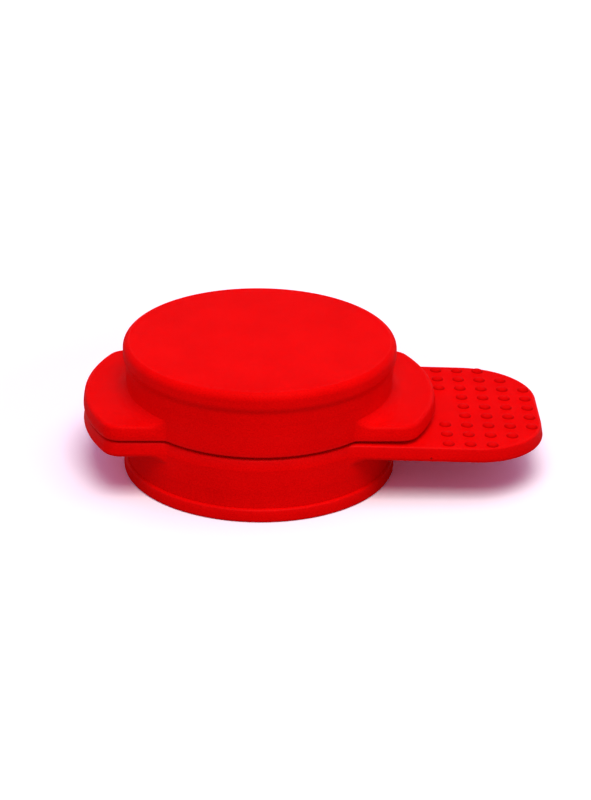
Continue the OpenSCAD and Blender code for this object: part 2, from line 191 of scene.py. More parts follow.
def make_turning():
    """Group for turned metal: fine rings around the Z axis of the vector it is given."""
    group, source, sink = open_group(
        "turning_marks", [("Vector", "Vector", None), ("Pitch", "Float", 0.0001)], ["Rings"])
    parts = add(group, "ShaderNodeSeparateXYZ", {0: source.outputs["Vector"]})
    reach = length(group, vector(group, X=parts.outputs["X"], Y=parts.outputs["Y"]))
    along = maths(group, "ADD", reach, parts.outputs["Z"])
    step = maths(group, "DIVIDE", along, source.outputs["Pitch"])
    rings = add(group, "ShaderNodeTexNoise", {"W": step, "Scale": 1.0, "Detail": 2.0}, noise_dimensions="1D")
    group.links.new(rings.outputs["Fac"], sink.inputs["Rings"])
    return group


GRAIN = make_grain()
FLECKS = make_flecks()
TURNING = make_turning()
print("shared effects:", [g.name for g in bpy.data.node_groups])

# %% [markdown]
# ## The finishes
# A finish starts from a Principled shader. Constants such as the specular level go straight on its
# sockets, and the groups drive only what changes over the surface. Each shell carries an attribute named
# edge, which rises to 1 on its crisp edges: there, fingers polish the grain off, so they are smoother.
# The grip studs carry a second attribute, which paints shade onto them: dark at their feet and faint on their
# crowns.

# %% Helpers for finishes
def start_finish(name, **sockets):
    """Makes a material and returns its tree, its shader and its object coordinates."""
    material = bpy.data.materials.new(name)
    material.use_nodes = True
    tree = material.node_tree
    shader = tree.nodes["Principled BSDF"]
    for socket, value in sockets.items():
        shader.inputs[socket.replace("_", " ")].default_value = value
    coords = add(tree, "ShaderNodeTexCoord").outputs["Object"]
    return material, tree, shader, coords


def use(tree, group, **inputs):
    """Places a shared effect in a material."""
    return add(tree, "ShaderNodeGroup", {k.replace("_", " "): v for k, v in inputs.items()}, node_tree=group)


def blend(tree, factor, low, high):
    """Mixes two colours by a factor and returns the colour."""
    mix = add(tree, "ShaderNodeMix", {0: factor, 6: low, 7: high}, data_type="RGBA")
    return mix.outputs[2]


def between(tree, value, low, high, start=0.0, end=1.0):
    """Maps a value from one range to another."""
    ranged = add(tree, "ShaderNodeMapRange", {0: value, 1: start, 2: end, 3: low, 4: high})
    return ranged.outputs[0]


def emboss(tree, shader, height, strength, depth):
    """Turns a height into the shader's normal."""
    bump = add(tree, "ShaderNodeBump", {"Strength": strength, "Distance": depth, "Height": height})
    tree.links.new(bump.outputs[0], shader.inputs["Normal"])


# %% Red plastic
def make_red():
    """Bright red moulded plastic: matte grain, polished edges, painted shade on the grip studs and a few dark
    flecks.
    """
    material, tree, shader, coords = start_finish("red_plastic", Specular_IOR_Level=0.012,
                                                  Coat_Roughness=0.45)
    grain = use(tree, GRAIN, Vector=coords, Grain_Size=0.00028, Tone_Size=0.011)
    flecks = use(tree, FLECKS, Vector=coords, Spacing=0.006, Share=0.1, Spot=0.035)
    edge = add(tree, "ShaderNodeAttribute", attribute_name="edge").outputs["Fac"]
    cloud = between(tree, grain.outputs["Tone"], 0.0, 0.4, 0.3, 0.7)
    speckle = between(tree, grain.outputs["Height"], 0.0, 0.6, 0.35, 0.65)
    tone = maths(tree, "ADD", cloud, speckle)
    red = blend(tree, tone, (0.67, 0.0004, 0.0004, 1), (0.88, 0.0014, 0.0012, 1))
    # Painted shade: the studs' attribute mixes the red toward a dark red, most at their feet, where the
    # crease shade falls.
    painted_shade = add(tree, "ShaderNodeAttribute", attribute_name="painted_shade").outputs["Fac"]
    shade_painted_red = blend(tree, painted_shade, red, (0.4, 0.0006, 0.0006, 1))
    colour = blend(tree, flecks.outputs["Mask"], shade_painted_red, (0.3, 0.004, 0.004, 1))
    tree.links.new(colour, shader.inputs["Base Color"])
    matte = between(tree, grain.outputs["Height"], 0.5, 0.66, 0.3, 0.7)
    polish = maths(tree, "MULTIPLY", edge, -0.16)
    tree.links.new(maths(tree, "ADD", matte, polish), shader.inputs["Roughness"])
    crisp = maths(tree, "MULTIPLY", edge, edge)
    tree.links.new(maths(tree, "MULTIPLY", crisp, 0.04), shader.inputs["Coat Weight"])
    worn = between(tree, edge, 1.0, 0.35)
    emboss(tree, shader, maths(tree, "MULTIPLY", grain.outputs["Height"], worn), 0.7, 0.0001)
    return material


RED = make_red()

# %% [markdown]
# The inner pieces have their own finishes. The sleeve is black rubber with a dry bloom, the gaskets are
# milky silicone, the valve plate is white acetal, the screw and washers are turned steel, and the insert
# is brass. They hide inside the shut spout, but show through the pour window and from below.

# %% Rubber, silicone and acetal
def make_soft(name, low, high, rough, grain_size, fleck, **sockets):
    """Moulded rubber or plastic with its own two tones, grain and dust."""
    material, tree, shader, coords = start_finish(name, **sockets)
    grain = use(tree, GRAIN, Vector=coords, Grain_Size=grain_size, Tone_Size=0.006)
    flecks = use(tree, FLECKS, Vector=coords, Spacing=0.003, Share=0.2, Spot=0.05)
    tone = between(tree, grain.outputs["Tone"], 0.0, 1.0, 0.3, 0.7)
    colour = blend(tree, flecks.outputs["Mask"], blend(tree, tone, low, high), fleck)
    tree.links.new(colour, shader.inputs["Base Color"])
    tree.links.new(between(tree, tone, rough - 0.08, rough + 0.08), shader.inputs["Roughness"])
    emboss(tree, shader, grain.outputs["Height"], 0.3, 0.00006)
    return material


RUBBER = make_soft("black_rubber", (0.012, 0.012, 0.013, 1), (0.024, 0.024, 0.026, 1), 0.72, 0.00035,
                   (0.09, 0.085, 0.08, 1), Specular_IOR_Level=0.3)
SILICONE = make_soft("silicone", (0.66, 0.65, 0.61, 1), (0.76, 0.75, 0.71, 1), 0.5, 0.0005,
                     (0.4, 0.38, 0.35, 1), Specular_IOR_Level=0.4)
ACETAL = make_soft("white_acetal", (0.72, 0.72, 0.69, 1), (0.8, 0.8, 0.77, 1), 0.42, 0.0006,
                   (0.5, 0.49, 0.46, 1), Specular_IOR_Level=0.5)


# %% Steel and brass
def make_metal(name, low, high, rough, pitch):
    """Turned metal with fine rings in its tone, gloss and relief."""
    material, tree, shader, coords = start_finish(name, Metallic=1.0)
    turning = use(tree, TURNING, Vector=coords, Pitch=pitch)
    grain = use(tree, GRAIN, Vector=coords, Grain_Size=0.0004, Tone_Size=0.004)
    rings = between(tree, turning.outputs["Rings"], 0.0, 1.0, 0.3, 0.7)
    tarnish = between(tree, grain.outputs["Tone"], 0.0, 1.0, 0.35, 0.65)
    share = maths(tree, "ADD", maths(tree, "MULTIPLY", rings, 0.5), maths(tree, "MULTIPLY", tarnish, 0.5))
    tree.links.new(blend(tree, share, low, high), shader.inputs["Base Color"])
    tree.links.new(between(tree, share, rough + 0.1, rough - 0.08), shader.inputs["Roughness"])
    emboss(tree, shader, turning.outputs["Rings"], 0.2, 0.00002)
    return material


STEEL = make_metal("steel", (0.50, 0.51, 0.53, 1), (0.66, 0.67, 0.69, 1), 0.3, 0.00012)
BRASS = make_metal("brass", (0.52, 0.34, 0.11, 1), (0.70, 0.49, 0.19, 1), 0.32, 0.00012)
print("finishes:", [m.name for m in (RED, RUBBER, SILICONE, ACETAL, STEEL, BRASS)])

# %% [markdown]
# ## Turned pieces
# The cover, the foot ring and the neck sleeve are bodies of revolution. A Screw modifier could turn a
# profile, but a Geometry Nodes lathe keeps more in hand: it lays a grid, looks up each row's radius and
# height in a profile, bends the rows around the axis and carries the edge attribute along.

# %% The lathe tree
def make_lathe():
    """Geometry Nodes tree that turns a profile in the XZ plane around the Z axis."""
    tree, given, identifiers = open_tree("lathe", (("Profile", "Geometry"), ("Segments", "Int"),
                                                   ("Finish", "Material")))
    profile = given["Profile"]
    rows = add(tree, "GeometryNodeAttributeDomainSize", {0: profile}, component="MESH").outputs["Point Count"]
    grid = add(tree, "GeometryNodeMeshGrid", {
        "Size X": 1.0, "Size Y": 1.0, "Vertices X": rows,
        "Vertices Y": maths(tree, "ADD", given["Segments"], 1.0)})
    spot = add(tree, "ShaderNodeSeparateXYZ", {0: add(tree, "GeometryNodeInputPosition").outputs[0]})
    share = maths(tree, "ADD", spot.outputs["X"], 0.5)
    row = maths(tree, "ROUND", maths(tree, "MULTIPLY", share, maths(tree, "SUBTRACT", rows, 1.0)))
    turn = maths(tree, "MULTIPLY", maths(tree, "ADD", spot.outputs["Y"], 0.5), math.tau)
    place = add(tree, "GeometryNodeInputPosition").outputs[0]
    point = add(tree, "GeometryNodeSampleIndex", {"Geometry": profile, "Value": place, "Index": row},
                data_type="FLOAT_VECTOR", domain="POINT")
    point = add(tree, "ShaderNodeSeparateXYZ", {0: point.outputs[0]})
    ring = vector(tree, X=maths(tree, "MULTIPLY", point.outputs["X"], maths(tree, "COSINE", turn)),
                  Y=maths(tree, "MULTIPLY", point.outputs["X"], maths(tree, "SINE", turn)),
                  Z=point.outputs["Z"])
    mark = add(tree, "GeometryNodeInputNamedAttribute", {"Name": "edge"}, data_type="FLOAT").outputs[0]
    mark = add(tree, "GeometryNodeSampleIndex", {"Geometry": profile, "Value": mark, "Index": row},
               data_type="FLOAT", domain="POINT").outputs[0]
    marked = add(tree, "GeometryNodeStoreNamedAttribute", {
        "Geometry": grid.outputs["Mesh"], "Name": "edge", "Value": mark}, data_type="FLOAT", domain="POINT")
    turned = add(tree, "GeometryNodeSetPosition", {"Geometry": marked.outputs[0], "Position": ring})
    closed = add(tree, "GeometryNodeMergeByDistance", {"Geometry": turned.outputs[0], "Distance": 1e-6})
    close_tree(tree, closed.outputs[0], given["Finish"])
    return tree, identifiers


LATHE, LATHE_INPUT = make_lathe()


# %% From a tree to a plain mesh
def make_plain(piece):
    """Replaces a piece's mesh by what its modifiers make of it, and takes the modifiers off."""
    graph = bpy.context.evaluated_depsgraph_get()
    shown = piece.evaluated_get(graph)
    mesh = bpy.data.meshes.new_from_object(shown, preserve_all_data_layers=True, depsgraph=graph)
    piece.modifiers.clear()
    piece.data = mesh
    mesh.name = piece.name


def tidy_faces(piece, sharp=28):
    """Merges doubles, points the faces outwards and keeps only the real corners sharp."""
    mesh = piece.data
    work = bmesh.new()
    work.from_mesh(mesh)
    bmesh.ops.remove_doubles(work, verts=work.verts, dist=1e-6)
    bmesh.ops.dissolve_degenerate(work, edges=work.edges, dist=1e-7)
    bmesh.ops.recalc_face_normals(work, faces=work.faces)
    work.to_mesh(mesh)
    work.free()
    mesh.shade_smooth()
    mesh.set_sharp_from_angle(angle=math.radians(sharp))
    print(piece.name, "faces:", len(mesh.polygons))


def new_piece(name, mesh):
    """Links a new object that carries a mesh."""
    piece = bpy.data.objects.new(name, mesh)
    bpy.context.scene.collection.objects.link(piece)
    return piece


def turn_piece(name, profile, finish, segments=256):
    """Turns a profile of (radius, height, edge) points, in millimetres, into a closed piece."""
    mesh = bpy.data.meshes.new(name)
    closed = profile + [profile[0]]
    mesh.from_pydata([(r * MM, 0, z * MM) for r, z, _ in closed],
                     [(i, i + 1) for i in range(len(closed) - 1)], [])
    mark = mesh.attributes.new("edge", "FLOAT", "POINT")
    mark.data.foreach_set("value", [e for _, _, e in closed])
    piece = new_piece(name, mesh)
    lathe = piece.modifiers.new("lathe", "NODES")
    lathe.node_group = LATHE
    lathe[LATHE_INPUT["Segments"]] = segments
    lathe[LATHE_INPUT["Finish"]] = finish
    make_plain(piece)
    tidy_faces(piece)
    return piece


# %% [markdown]
# ### The cover
# The cover is the flat top with its rolled rim. Its profile runs from the middle of the top to a crisp
# crest, over the rim's round, under the bead to a soft valley and back along the underside. Two points
# close together hold each flat face flat, because smooth shading would otherwise bend it to the round.

# %% The cover
RIM_R = 25.0
WALL_R = 24.4
CAVITY_R = 22.2
CREST_R = 24.0
CREST_EDGE = 0.08
RIM_ROUND = 1.6
UNDER_ROUND = 1.8
UNDER_END = 33.5
CAP_TOP = 25.0
CAP_WALL_TOP = 21.5
CEILING = 23.3
CEILING_ROUND = 0.4
LAND_R = 20.0
FIT_GAP = 0.05
RING_R = CAVITY_R - FIT_GAP
RING_IN = RING_R - 1.0
RING_LOW = CAP_WALL_TOP - 1.2
CHAMFER = 0.2


def bow(centre, radius, start, end, steps, edge=0.3):
    """Points of an arc in a profile, with angles in degrees, marked as a rounded edge."""
    angles = np.radians(np.linspace(start, end, steps + 1))
    return [(centre[0] + radius * math.cos(a), centre[1] + radius * math.sin(a), edge) for a in angles]


UNDER_DROP = UNDER_ROUND * math.sin(math.radians(UNDER_END))
VALLEY_R = RIM_R - UNDER_ROUND * (1 - math.cos(math.radians(UNDER_END)))
VALLEY = (VALLEY_R - WALL_R) / (1 - math.cos(math.radians(UNDER_END)))
CREST_TURN = math.degrees(math.acos((CREST_R - RIM_R + RIM_ROUND) / RIM_ROUND))
ROUND_Z = CAP_TOP - RIM_ROUND * math.sin(math.radians(CREST_TURN))
cover_profile = [(0, CAP_TOP, 0), (CREST_R / 2, CAP_TOP, 0), (CREST_R - 0.3, CAP_TOP, 0)]
cover_profile += [(CREST_R - CREST_EDGE, CAP_TOP, 1)]
cover_profile += bow((RIM_R - RIM_ROUND, ROUND_Z), RIM_ROUND, CREST_TURN - 3, 0, 12)
cover_profile += bow((RIM_R - UNDER_ROUND, CAP_WALL_TOP + UNDER_DROP), UNDER_ROUND, 0, -UNDER_END, 7)
cover_profile += [(VALLEY_R, CAP_WALL_TOP, 0), (RING_R, CAP_WALL_TOP, 0), (RING_R, RING_LOW + CHAMFER, 0),
                  (RING_R - CHAMFER, RING_LOW, 0), (RING_IN + CHAMFER, RING_LOW, 0),
                  (RING_IN, RING_LOW + CHAMFER, 0), (RING_IN, CAP_WALL_TOP, 0), (LAND_R, CAP_WALL_TOP, 0),
                  (LAND_R, CEILING - CEILING_ROUND, 0)]
cover_profile += bow((LAND_R - CEILING_ROUND, CEILING - CEILING_ROUND), CEILING_ROUND, 0, 90, 3)[1:]
cover_profile += [(0, CEILING, 0)]
cover = turn_piece("cover", cover_profile, RED)

# %% [markdown]
# ### The foot ring and the neck sleeve
# The foot ring is a bead that leans in a little and ends in a crisp ledge, which catches the light, and
# it has a small round where it stands on the table. Inside it sits the sleeve that grips the bottle: a
# row of soft lips, which give way as the neck is pushed in.

# %% The foot ring and the neck sleeve
FOOT_ROUND = 0.4
FOOT_TOP = 2.5
BEAD_LEAN = 0.12
LEDGE_ROUND = 0.35
LEDGE_TURN = 72
LEDGE_Z = FOOT_TOP - 0.45
MOUTH_CHAMFER = 0.3
STEP_R = 23.3
TUBE_R = STEP_R - FIT_GAP
TUBE_TOP = 6.4
foot_profile = [(CAVITY_R, MOUTH_CHAMFER, 0), (CAVITY_R + MOUTH_CHAMFER, 0, 0),
                (RIM_R - FOOT_ROUND - 0.2, 0, 0)]
foot_profile += bow((RIM_R - FOOT_ROUND, FOOT_ROUND), FOOT_ROUND, -90, 0, 6)
foot_profile += [(RIM_R, FOOT_ROUND + 0.15, 0), (RIM_R - 0.4 * BEAD_LEAN, 1.4, 0)]
foot_profile += bow((RIM_R - BEAD_LEAN - LEDGE_ROUND, LEDGE_Z), LEDGE_ROUND, 5, LEDGE_TURN, 6, 1.0)
foot_profile += [(WALL_R, FOOT_TOP, 0), (TUBE_R, FOOT_TOP, 0), (TUBE_R, TUBE_TOP - CHAMFER, 0),
                 (TUBE_R - CHAMFER, TUBE_TOP, 0), (CAVITY_R, TUBE_TOP, 0)]
foot = turn_piece("foot", foot_profile, RED)

NECK_R = 19.0
SLEEVE_R = CAVITY_R - FIT_GAP
SLEEVE_TOP = 7.4
MOUTH_R = NECK_R + 0.9
VALE_R = NECK_R + 0.45
NECK_LIPS = 6
NECK_LIP_LOW = 0.7
NECK_LIP_PITCH = 6.2 / NECK_LIPS
NECK_LIP_R = NECK_R + 0.06
sleeve_profile = [(SLEEVE_R, 0, 0), (MOUTH_R, 0, 0)]
for lip in range(NECK_LIPS):
    low = NECK_LIP_LOW + lip * NECK_LIP_PITCH
    sleeve_profile += [(VALE_R, low, 0), (NECK_LIP_R, low + 0.42, 1), (NECK_R, low + 0.55, 1),
                       (NECK_LIP_R, low + 0.66, 1), (VALE_R, low + 0.8, 0)]
sleeve_profile += [(VALE_R, SLEEVE_TOP, 0), (TUBE_R, SLEEVE_TOP, 0), (TUBE_R, TUBE_TOP, 0),
                   (SLEEVE_R, TUBE_TOP, 0)]
sleeve = turn_piece("sleeve", sleeve_profile, RUBBER, 160)

# %% [markdown]
# ## The two winged shells
# The base and the cap are round walls with flat wings, so a lathe alone can't make them. They are still
# easiest to think of as rows around the axis: in each direction a row has a radius and a height. Where a
# wing stands out, the row follows the wing's outline, and elsewhere it folds back onto the wall.
# Subdivision or a Bevel modifier would round all edges alike. Here each edge has its own round.

# %% Directions and outlines
WING_R = 32.3
HALF_W = 17.6
WING_CORNER = 3.9
PADDLE_HALF = 18.4
PADDLE_REACH = 51.88
PADDLE_CORNER = 13.2
PLAN_BLEND = 0.6
BEND_X = 13.29
DROOP = math.tan(math.radians(1.6))


def pick_directions():
    """Directions around the axis, closer together where the outlines turn."""
    picked = [np.arange(0, 360, 1.0)]
    joint = math.degrees(math.asin(HALF_W / WALL_R))
    corner = math.degrees(math.asin((HALF_W - WING_CORNER) / (WING_R - WING_CORNER)))
    for angle, width, step in ((joint, 7, 0.25), (corner, 4, 0.2)):
        for centre in (angle, 180 - angle, 180 + angle, 360 - angle):
            picked.append(np.arange(centre - width, centre + width, step))
    return np.radians(np.unique(np.round(np.concatenate(picked) % 360, 3)))


TURNS = pick_directions()
SIDE = np.abs(np.sin(TURNS))
FRONT = np.abs(np.cos(TURNS))


def rounded(end, on_end, half, core_x, core_w, corner):
    """Joins an end, a side and the corner circle between them into one outline."""
    side = half / np.maximum(SIDE, 1e-6)
    along = FRONT * core_x + SIDE * core_w
    away = core_x ** 2 + core_w ** 2 - along ** 2
    turn = along + np.sqrt(np.maximum(corner ** 2 - away, 0))
    return np.where(on_end, end, np.where(side * FRONT <= core_x, side, turn))


def wing_plan(inset):
    """Radius of the wings' outline in each direction, moved inwards by an inset."""
    core_r = WING_R - WING_CORNER
    core_w = HALF_W - WING_CORNER
    core_x = math.sqrt(core_r ** 2 - core_w ** 2)
    on_end = np.arctan2(SIDE, FRONT) <= math.atan2(core_w, core_x)
    return rounded(WING_R - inset, on_end, HALF_W - inset, core_x, core_w, WING_CORNER - inset)


def paddle_plan(inset):
    """Radius of the paddle's outline in each direction on its side of the axis, moved inwards by an inset."""
    core_x = PADDLE_REACH - PADDLE_CORNER
    core_w = PADDLE_HALF - PADDLE_CORNER
    tip = (PADDLE_REACH - inset) / np.maximum(FRONT, 1e-6)
    return rounded(tip, tip * SIDE <= core_w, PADDLE_HALF - inset, core_x, core_w, PADDLE_CORNER - inset)


def base_plan(inset):
    """Outline of the base's plate: the paddle on one side and a wing on the other."""
    return np.where(np.cos(TURNS) > 0, paddle_plan(inset), wing_plan(inset))


def sag(radius):
    """How far the paddle has sloped down at a radius in each direction."""
    return DROOP * np.maximum(radius * np.cos(TURNS) - BEND_X, 0)


def meet(wall, plate):
    """Larger of two radii, with a soft corner where they cross."""
    near = np.maximum(PLAN_BLEND - np.abs(wall - plate), 0) / PLAN_BLEND
    return np.maximum(wall, plate) + near ** 2 * PLAN_BLEND / 4


print("directions:", len(TURNS))

# %% Rows and skins
FILLET = 2.25
FILLET_ARC = 2.6


def row(radius, height, edge=0.0):
    """One row of a skin: a radius and a height in each direction, and its edge mark."""
    return np.broadcast_to(radius, TURNS.shape), np.broadcast_to(height, TURNS.shape), edge


def circles(*points):
    """Rows that are plain circles, each from a radius and a height."""
    return [row(radius, height) for radius, height in points]


def climb(radius):
    """Height of the hollow fillet above a plate, from nothing up to the fillet's size at the wall."""
    out = np.clip(radius - WALL_R, 0, FILLET)
    return FILLET_ARC - np.sqrt(FILLET_ARC ** 2 - (FILLET - out) ** 2)


def skin(name, rows):
    """Joins rows into a closed mesh, the last row to the first."""
    count = len(TURNS)
    verts = []
    marks = []
    for radius, height, edge in rows:
        places = zip(radius * MM, height * MM, TURNS)
        verts += [(r * math.cos(a), r * math.sin(a), h) for r, h, a in places]
        marks += [edge] * count
    faces = []
    for i in range(len(rows)):
        low = i * count
        high = (i + 1) % len(rows) * count
        faces += [(low + k, low + (k + 1) % count, high + (k + 1) % count, high + k) for k in range(count)]
    mesh = bpy.data.meshes.new(name)
    mesh.from_pydata(verts, [], faces)
    mesh.attributes.new("edge", "FLOAT", "POINT").data.foreach_set("value", marks)
    mesh.materials.append(RED)
    return new_piece(name, mesh)


QUARTER = np.radians(np.linspace(0, 90, 7))
HOLLOW = np.radians(np.linspace(0, 90, 10))

# %% [markdown]
# ### The base
# The base is read from the bottom up: the boss for the insert, the deck, the socket, the joint over the
# foot ring, the wall with the faint step of its mould, the fillet that carries the plate, the plate's
# edge, the leaning lip, and then the seam, the spigot with its groove and the seat of the valve's seal.
# The boss's middle and the insert's bore are rows of radius nothing, which close into a pole.

# %% The base's rows
BASE_TOP = 12.0
PLATE_T = 2.8
PLATE_LOW = BASE_TOP - PLATE_T
EDGE_ROUND = 0.7
EDGE_DRAFT = 0.2
SEAM_ROUND = 0.4
LIP_WIDE = 0.45
LIP_DEEP = 0.8
LIP_DRAFT = 0.3
LIP_BAND = 2.05
SEAM_DIP = 0.2
MOULD_STEP = 0.08
STEP_RISE = 0.8
STEP_HOLD = 0.15
BASE_STEP_Z = 4.9
LOW_WALL_R = WALL_R - MOULD_STEP
WALL_EDGE = 0.04
BOSS_R = 4.0
BOSS_LOW = 7.7
BOSS_CHAMFER = 0.4
DECK_LOW = 9.2
SPIGOT_R = 21.7
SPIGOT_IN = 19.6
SPIGOT_TOP = 15.0
GROOVE_R = 20.5
GROOVE_LOW = 12.5
GROOVE_HIGH = 14.5
SEAL_R = 16.55
SEAL_SEAT = 11.2
INSERT_R = 2.45
INSERT_LOW = 8.2


def plate_edge_rows(plan, face, up, slope=0.0, draft=0.0):
    """Rows of a plate's free edge and of the fillet behind it; up is 1 above the plate and -1 below it."""
    rows = []
    for a in QUARTER:
        reach = meet(WALL_R, plan(draft + EDGE_ROUND * (1 - math.cos(a))))
        height = face + up * (climb(reach) - EDGE_ROUND * (1 - math.sin(a)))
        rows.append(row(reach, height - slope * sag(reach), 0.5))
    reach = meet(WALL_R, plan(draft + EDGE_ROUND))
    inners = [(np.maximum(reach - gap, np.minimum(reach, WALL_R + FILLET)), 0.0) for gap in (0.25, 1.2)]
    inners += [(np.minimum(reach, WALL_R + FILLET * (1 - math.sin(a))), 0.3) for a in HOLLOW]
    for inner, edge in inners:
        rows.append(row(inner, face + up * climb(inner) - slope * sag(inner), edge))
    return rows


def mould_step(radius, height):
    """Rows of the faint step that a mould's split leaves around a wall, which stands out above it."""
    top = height + STEP_RISE
    return circles((radius, height - STEP_HOLD), (radius, height), (radius + MOULD_STEP, top),
                   (radius + MOULD_STEP, top + STEP_HOLD))


def base_rows():
    """Rows of the base, from the boss's pole around to the insert's pole."""
    rows = circles((0, BOSS_LOW), (BOSS_R - BOSS_CHAMFER, BOSS_LOW), (BOSS_R, BOSS_LOW + BOSS_CHAMFER),
                   (BOSS_R, DECK_LOW), (CAVITY_R, DECK_LOW), (CAVITY_R, SLEEVE_TOP), (STEP_R, SLEEVE_TOP),
                   (STEP_R, FOOT_TOP), (LOW_WALL_R - 0.1, FOOT_TOP))
    for a in QUARTER[::3]:
        inset = WALL_EDGE * (1 - math.sin(a))
        rows.append(row(LOW_WALL_R - inset, FOOT_TOP + WALL_EDGE * (1 - math.cos(a))))
    rows += [row(LOW_WALL_R, FOOT_TOP + 0.3)] + mould_step(LOW_WALL_R, BASE_STEP_Z)
    rows += [row(WALL_R, PLATE_LOW - FILLET - 0.2)]
    rows += plate_edge_rows(base_plan, PLATE_LOW, -1, 1.0)[::-1]
    stand_out = np.clip((base_plan(0) - WALL_R + 1.0) / 2.5, 0, 1)
    wall_share = 1 - stand_out ** 2 * (3 - 2 * stand_out)
    wide = SEAM_ROUND + (LIP_WIDE - SEAM_ROUND) * wall_share
    deep = SEAM_ROUND + (LIP_DEEP - SEAM_ROUND) * wall_share
    top = BASE_TOP - SEAM_DIP * wall_share
    reach = meet(WALL_R, base_plan(0))
    for hold in (0.12, 0.0):
        rows.append(row(reach, BASE_TOP - LIP_BAND - hold * wall_share - sag(reach)))
    for a in QUARTER:
        inset = LIP_DRAFT + wide * (1 - math.cos(a))
        reach = meet(WALL_R - inset, base_plan(inset))
        rows.append(row(reach, top - deep * (1 - math.sin(a)) - sag(reach), 1.0))
    for gap, limit in ((0.2, 60), (0.4, 44), (0.4, 34), (0.4, 27), (0.4, 24.0)):
        inset = LIP_DRAFT + wide + gap
        reach = np.minimum(meet(WALL_R - inset, base_plan(inset)), limit)
        rows.append(row(reach, top - sag(reach)))
    return rows + circles(
        (SPIGOT_R + 1.0, BASE_TOP), (SPIGOT_R, BASE_TOP), (SPIGOT_R, GROOVE_LOW), (GROOVE_R, GROOVE_LOW),
        (GROOVE_R, GROOVE_HIGH), (SPIGOT_R, GROOVE_HIGH), (SPIGOT_R, SPIGOT_TOP - CHAMFER),
        (SPIGOT_R - CHAMFER, SPIGOT_TOP), (SPIGOT_IN + CHAMFER, SPIGOT_TOP),
        (SPIGOT_IN, SPIGOT_TOP - CHAMFER), (SPIGOT_IN, BASE_TOP), (SEAL_R, BASE_TOP), (SEAL_R, SEAL_SEAT),
        (INSERT_R, SEAL_SEAT), (INSERT_R, INSERT_LOW), (0, INSERT_LOW))


base = skin("base", base_rows())
tidy_faces(base)

# %% [markdown]
# ### Holes and posts
# The ports, the strainer's seat and the stop posts aren't rows around the axis, so they are cut or joined
# with Booleans. Each tool is a small turned solid off the axis. The exact solver leaves the faces that it
# doesn't touch as they are, so the rounded edges stay clean.

# %% Cutting and joining
def close_up(name, work):
    """Turns a work mesh into a piece whose faces point outwards."""
    bmesh.ops.recalc_face_normals(work, faces=work.faces)
    mesh = bpy.data.meshes.new(name)
    work.to_mesh(mesh)
    work.free()
    return new_piece(name, mesh)


def pins(name, shapes, segments=48):
    """Closed turned pins in one piece, each with a centre and a stepped profile in millimetres."""
    work = bmesh.new()
    for (x, y), profile in shapes:
        loops = []
        for r, z in profile:
            steps = segments if r > 0 else 1
            angles = [math.tau * k / segments for k in range(steps)]
            loops.append([work.verts.new(((x + r * math.cos(a)) * MM, (y + r * math.sin(a)) * MM, z * MM))
                          for a in angles])
        for low, high in zip(loops, loops[1:]):
            for k in range(segments):
                n = (k + 1) % segments
                corners = [low[k % len(low)], low[n % len(low)], high[n % len(high)], high[k % len(high)]]
                work.faces.new(list(dict.fromkeys(corners)))
    return close_up(name, work)


def pin(r, low, high):
    """Profile of a plain pin."""
    return [(0, low), (r, low), (r, high), (0, high)]


def shape_with(piece, tool, operation):
    """Cuts a tool from a piece or joins it to it, and deletes the tool."""
    change = piece.modifiers.new("change", "BOOLEAN")
    change.operation = operation
    change.solver = "EXACT"
    change.object = tool
    make_plain(piece)
    bpy.data.objects.remove(tool)


def polar(angle, reach):
    """Point in the plan at a direction in degrees and a distance from the axis."""
    return reach * math.cos(math.radians(angle)), reach * math.sin(math.radians(angle))


PORT_AT = 9.5
PORT_R = 4.4
VENT_R = 1.6
STRAINER_R = 5.15
STRAINER_TOP = 9.7
UNDER_DECK = 5
OVER_DECK = 14
strainer_seat = [(0, UNDER_DECK), (STRAINER_R, UNDER_DECK), (STRAINER_R, STRAINER_TOP),
                 (PORT_R, STRAINER_TOP), (PORT_R, OVER_DECK), (0, OVER_DECK)]
ports = [(polar(180, PORT_AT), strainer_seat), (polar(0, PORT_AT), pin(VENT_R, UNDER_DECK, OVER_DECK))]
shape_with(base, pins("ports", ports), "DIFFERENCE")

VALVE_R = 16.0
LUG_HALF = 2.0
STOP_R = 1.0
STOP_GAP = 0.2
STOP_AT = (VALVE_R + SPIGOT_IN) / 2 + STOP_GAP
stop_post = pin(STOP_R, BASE_TOP - 0.5, SPIGOT_TOP - 0.1)
swing = math.degrees(math.asin((LUG_HALF + STOP_R + STOP_GAP) / STOP_AT))
posts = [(polar(angle, STOP_AT), stop_post) for angle in (315 - swing, 45 + swing)]
shape_with(base, pins("posts", posts, 32), "UNION")
tidy_faces(base)

# %% [markdown]
# ### The cap
# The cap's rows run from the hub's bore out under the floor, down the skirt, around the wings and up the
# wall, and back over the floor to the hub. The wings' upper edges climb the fillet where they meet the
# wall, which gives the swept corners that catch the light on the real one. The wall's top flares out to
# meet the cover's rim in a soft valley.

# %% The cap's rows
CAP_LOW = 12.4
WING_TOP = CAP_LOW + PLATE_T
CAP_STEP_Z = 18.4
FLOOR_LOW = 15.2
FLOOR_TOP = 16.6
FLOOR_CHAMFER = 0.4
SKIRT_CHAMFER = 0.25
HUB_BORE = 1.55
HUB_R = 4.0
HUB_TOP = 17.4
HUB_CHAMFER = 0.15


